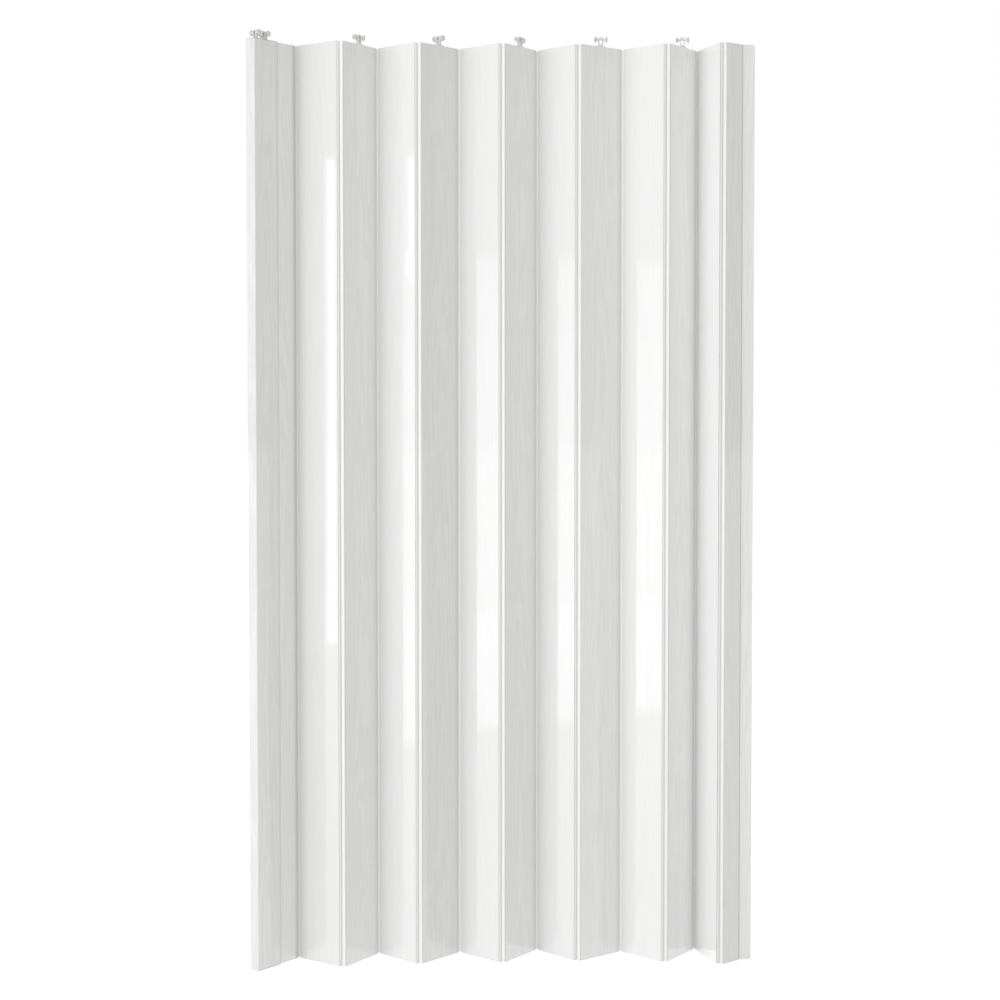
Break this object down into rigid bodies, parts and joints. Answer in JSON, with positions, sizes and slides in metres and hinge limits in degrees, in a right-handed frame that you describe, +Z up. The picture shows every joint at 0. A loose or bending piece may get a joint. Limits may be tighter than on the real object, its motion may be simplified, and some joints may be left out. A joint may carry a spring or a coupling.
{
  "type": "accordion room divider",
  "caption": "Accordion room divider of hollow slats joined by hinge strips, with a lead post, a wall jamb and swivelling roller hangers.",
  "frame": {"origin": "foot of the jamb's wall face, in line with the jamb's hinge axis", "axes": "+X into the wall, the door runs to -X; -Y towards the front; +Z up"},
  "size_m": [1.0949, 0.1299, 2.0235],
  "materials": {
    "slat_pvc": "semi-gloss white PVC with a faint vertical wood grain",
    "strip_pvc": "smooth bright white PVC",
    "post_pvc": "semi-gloss white PVC with a faint vertical wood grain",
    "moulded_nylon": "natural white moulded nylon",
    "wheel_nylon": "polished white nylon tread",
    "axle_steel": "plain steel pin"
  },
  "bodies": {
    "jamb": {"wall_jamb": "post_pvc"},
    "wall_half_slat": {"wall_half_panel": "slat_pvc"},
    "strip_12": {"hinge_strip_12": "strip_pvc"},
    "slat_12": {"panel_12": "slat_pvc"},
    "strip_11": {"hinge_strip_11": "strip_pvc"},
    "slat_11": {"panel_11": "slat_pvc", "hanger_socket_6": "moulded_nylon"},
    "strip_10": {"hinge_strip_10": "strip_pvc"},
    "slat_10": {"panel_10": "slat_pvc"},
    "strip_09": {"hinge_strip_09": "strip_pvc"},
    "slat_09": {"panel_09": "slat_pvc", "hanger_socket_5": "moulded_nylon"},
    "strip_08": {"hinge_strip_08": "strip_pvc"},
    "slat_08": {"panel_08": "slat_pvc"},
    "strip_07": {"hinge_strip_07": "strip_pvc"},
    "slat_07": {"panel_07": "slat_pvc", "hanger_socket_4": "moulded_nylon"},
    "strip_06": {"hinge_strip_06": "strip_pvc"},
    "slat_06": {"panel_06": "slat_pvc"},
    "strip_05": {"hinge_strip_05": "strip_pvc"},
    "slat_05": {"panel_05": "slat_pvc", "hanger_socket_3": "moulded_nylon"},
    "strip_04": {"hinge_strip_04": "strip_pvc"},
    "slat_04": {"panel_04": "slat_pvc"},
    "strip_03": {"hinge_strip_03": "strip_pvc"},
    "slat_03": {"panel_03": "slat_pvc", "hanger_socket_2": "moulded_nylon"},
    "strip_02": {"hinge_strip_02": "strip_pvc"},
    "slat_02": {"panel_02": "slat_pvc"},
    "strip_01": {"hinge_strip_01": "strip_pvc"},
    "lead_end": {"lead_half_panel": "slat_pvc", "lead_post": "post_pvc", "lead_post_top_cap": "moulded_nylon", "lead_post_bottom_cap": "moulded_nylon"},
    "roller_1": {"hanger_1": "moulded_nylon"},
    "wheelset_1a": {"axle_1a": "axle_steel", "wheels_1a": "wheel_nylon"},
    "wheelset_1b": {"axle_1b": "axle_steel", "wheels_1b": "wheel_nylon"},
    "roller_2": {"hanger_2": "moulded_nylon"},
    "wheelset_2": {"axle_2": "axle_steel", "wheels_2": "wheel_nylon"},
    "roller_3": {"hanger_3": "moulded_nylon"},
    "wheelset_3": {"axle_3": "axle_steel", "wheels_3": "wheel_nylon"},
    "roller_4": {"hanger_4": "moulded_nylon"},
    "wheelset_4": {"axle_4": "axle_steel", "wheels_4": "wheel_nylon"},
    "roller_5": {"hanger_5": "moulded_nylon"},
    "wheelset_5": {"axle_5": "axle_steel", "wheels_5": "wheel_nylon"},
    "roller_6": {"hanger_6": "moulded_nylon"},
    "wheelset_6": {"axle_6": "axle_steel", "wheels_6": "wheel_nylon"}
  },
  "joints": [
    {"name": "wall_half_slat_fold", "type": "hinge", "parent": "jamb", "child": "wall_half_slat", "pos_m": [-0.027, 0, 1], "axis": [0, 0, 1], "range_deg": [-30, 52]},
    {"name": "hinge_strip_12_turn", "type": "hinge", "parent": "wall_half_slat", "child": "strip_12", "pos_m": [-0.06845, -0.02796, 1], "axis": [0, 0, 1], "range_deg": [-52, 30]},
    {"name": "slat_12_fold", "type": "hinge", "parent": "strip_12", "child": "slat_12", "pos_m": [-0.07705, -0.02796, 1], "axis": [0, 0, -1], "range_deg": [-70, 12]},
    {"name": "hinge_strip_11_turn", "type": "hinge", "parent": "slat_12", "child": "strip_11", "pos_m": [-0.10765, 0.07874, 1], "axis": [0, 0, -1], "range_deg": [-12, 70]},
    {"name": "slat_11_fold", "type": "hinge", "parent": "strip_11", "child": "slat_11", "pos_m": [-0.11625, 0.07874, 1], "axis": [0, 0, 1], "range_deg": [-46, 36]},
    {"name": "hinge_strip_10_turn", "type": "hinge", "parent": "slat_11", "child": "strip_10", "pos_m": [-0.1876, -0.00629, 1], "axis": [0, 0, 1], "range_deg": [-36, 46]},
    {"name": "slat_10_fold", "type": "hinge", "parent": "strip_10", "child": "slat_10", "pos_m": [-0.1962, -0.00629, 1], "axis": [0, 0, -1], "range_deg": [-41, 41]},
    {"name": "hinge_strip_09_turn", "type": "hinge", "parent": "slat_10", "child": "strip_09", "pos_m": [-0.27469, 0.0722, 1], "axis": [0, 0, -1], "range_deg": [-41, 41]},
    {"name": "slat_09_fold", "type": "hinge", "parent": "strip_09", "child": "slat_09", "pos_m": [-0.28329, 0.0722, 1], "axis": [0, 0, 1], "range_deg": [-28, 54]},
    {"name": "hinge_strip_08_turn", "type": "hinge", "parent": "slat_09", "child": "strip_08", "pos_m": [-0.37742, 0.01338, 1], "axis": [0, 0, 1], "range_deg": [-54, 28]},
    {"name": "slat_08_fold", "type": "hinge", "parent": "strip_08", "child": "slat_08", "pos_m": [-0.38602, 0.01338, 1], "axis": [0, 0, -1], "range_deg": [-44, 38]},
    {"name": "hinge_strip_07_turn", "type": "hinge", "parent": "slat_08", "child": "strip_07", "pos_m": [-0.46029, 0.09587, 1], "axis": [0, 0, -1], "range_deg": [-38, 44]},
    {"name": "slat_07_fold", "type": "hinge", "parent": "strip_07", "child": "slat_07", "pos_m": [-0.46889, 0.09587, 1], "axis": [0, 0, 1], "range_deg": [-44, 38]},
    {"name": "hinge_strip_06_turn", "type": "hinge", "parent": "slat_07", "child": "strip_06", "pos_m": [-0.54317, 0.01338, 1], "axis": [0, 0, 1], "range_deg": [-38, 44]},
    {"name": "slat_06_fold", "type": "hinge", "parent": "strip_06", "child": "slat_06", "pos_m": [-0.55177, 0.01338, 1], "axis": [0, 0, -1], "range_deg": [-39, 43]},
    {"name": "hinge_strip_05_turn", "type": "hinge", "parent": "slat_06", "child": "strip_05", "pos_m": [-0.63295, 0.08908, 1], "axis": [0, 0, -1], "range_deg": [-43, 39]},
    {"name": "slat_05_fold", "type": "hinge", "parent": "strip_05", "child": "slat_05", "pos_m": [-0.64155, 0.08908, 1], "axis": [0, 0, 1], "range_deg": [-38, 44]},
    {"name": "hinge_strip_04_turn", "type": "hinge", "parent": "slat_05", "child": "strip_04", "pos_m": [-0.72404, 0.01481, 1], "axis": [0, 0, 1], "range_deg": [-44, 38]},
    {"name": "slat_04_fold", "type": "hinge", "parent": "strip_04", "child": "slat_04", "pos_m": [-0.73264, 0.01481, 1], "axis": [0, 0, -1], "range_deg": [-40, 42]},
    {"name": "hinge_strip_03_turn", "type": "hinge", "parent": "slat_04", "child": "strip_03", "pos_m": [-0.81248, 0.09191, 1], "axis": [0, 0, -1], "range_deg": [-42, 40]},
    {"name": "slat_03_fold", "type": "hinge", "parent": "strip_03", "child": "slat_03", "pos_m": [-0.82108, 0.09191, 1], "axis": [0, 0, 1], "range_deg": [-47, 35]},
    {"name": "hinge_strip_02_turn", "type": "hinge", "parent": "slat_03", "child": "strip_02", "pos_m": [-0.89094, 0.00565, 1], "axis": [0, 0, 1], "range_deg": [-35, 47]},
    {"name": "slat_02_fold", "type": "hinge", "parent": "strip_02", "child": "slat_02", "pos_m": [-0.89954, 0.00565, 1], "axis": [0, 0, -1], "range_deg": [-33, 49]},
    {"name": "hinge_strip_01_turn", "type": "hinge", "parent": "slat_02", "child": "strip_01", "pos_m": [-0.98818, 0.07245, 1], "axis": [0, 0, -1], "range_deg": [-49, 33]},
    {"name": "lead_end_fold", "type": "hinge", "parent": "strip_01", "child": "lead_end", "pos_m": [-0.99679, 0.07245, 1], "axis": [0, 0, 1], "range_deg": [-41, 41]},
    {"name": "roller_1_swivel", "type": "hinge", "parent": "lead_end", "child": "roller_1", "pos_m": [-1.06576, 0.01797, 2], "axis": [0, 0, 1], "continuous": true},
    {"name": "wheels_1a_roll", "type": "hinge", "parent": "roller_1", "child": "wheelset_1a", "pos_m": [-1.05657, 0.02716, 2.0155], "axis": [0.7071, -0.7071, 0], "continuous": true},
    {"name": "wheels_1b_roll", "type": "hinge", "parent": "roller_1", "child": "wheelset_1b", "pos_m": [-1.07496, 0.00878, 2.0155], "axis": [0.7071, -0.7071, 0], "continuous": true},
    {"name": "roller_2_swivel", "type": "hinge", "parent": "slat_03", "child": "roller_2", "pos_m": [-0.85601, 0.04878, 2], "axis": [0, 0, 1], "continuous": true},
    {"name": "wheels_2_roll", "type": "hinge", "parent": "roller_2", "child": "wheelset_2", "pos_m": [-0.85601, 0.04878, 2.0155], "axis": [0.766, 0.6428, 0], "continuous": true},
    {"name": "roller_3_swivel", "type": "hinge", "parent": "slat_05", "child": "roller_3", "pos_m": [-0.68279, 0.05194, 2], "axis": [0, 0, 1], "continuous": true},
    {"name": "wheels_3_roll", "type": "hinge", "parent": "roller_3", "child": "wheelset_3", "pos_m": [-0.68279, 0.05194, 2.0155], "axis": [0.7314, -0.682, 0], "continuous": true},
    {"name": "roller_4_swivel", "type": "hinge", "parent": "slat_07", "child": "roller_4", "pos_m": [-0.50603, 0.05462, 2], "axis": [0, 0, 1], "continuous": true},
    {"name": "wheels_4_roll", "type": "hinge", "parent": "roller_4", "child": "wheelset_4", "pos_m": [-0.50603, 0.05462, 2.0155], "axis": [0.6428, 0.766, 0], "continuous": true},
    {"name": "roller_5_swivel", "type": "hinge", "parent": "slat_09", "child": "roller_5", "pos_m": [-0.33035, 0.04279, 2], "axis": [0, 0, 1], "continuous": true},
    {"name": "wheels_5_roll", "type": "hinge", "parent": "roller_5", "child": "wheelset_5", "pos_m": [-0.33035, 0.04279, 2.0155], "axis": [0.9962, 0.0872, 0], "continuous": true},
    {"name": "roller_6_swivel", "type": "hinge", "parent": "slat_11", "child": "roller_6", "pos_m": [-0.15192, 0.03623, 2], "axis": [0, 0, 1], "continuous": true},
    {"name": "wheels_6_roll", "type": "hinge", "parent": "roller_6", "child": "wheelset_6", "pos_m": [-0.15192, 0.03623, 2.0155], "axis": [0.9848, -0.1736, 0], "continuous": true}
  ],
  "couplings": [
    {"joint": "hinge_strip_12_turn", "follows": "wall_half_slat_fold", "ratio": -1},
    {"joint": "hinge_strip_11_turn", "follows": "slat_12_fold", "ratio": -1},
    {"joint": "hinge_strip_10_turn", "follows": "slat_11_fold", "ratio": -1},
    {"joint": "hinge_strip_09_turn", "follows": "slat_10_fold", "ratio": -1},
    {"joint": "hinge_strip_08_turn", "follows": "slat_09_fold", "ratio": -1},
    {"joint": "hinge_strip_07_turn", "follows": "slat_08_fold", "ratio": -1},
    {"joint": "hinge_strip_06_turn", "follows": "slat_07_fold", "ratio": -1},
    {"joint": "hinge_strip_05_turn", "follows": "slat_06_fold", "ratio": -1},
    {"joint": "hinge_strip_04_turn", "follows": "slat_05_fold", "ratio": -1},
    {"joint": "hinge_strip_03_turn", "follows": "slat_04_fold", "ratio": -1},
    {"joint": "hinge_strip_02_turn", "follows": "slat_03_fold", "ratio": -1},
    {"joint": "hinge_strip_01_turn", "follows": "slat_02_fold", "ratio": -1}
  ]
}
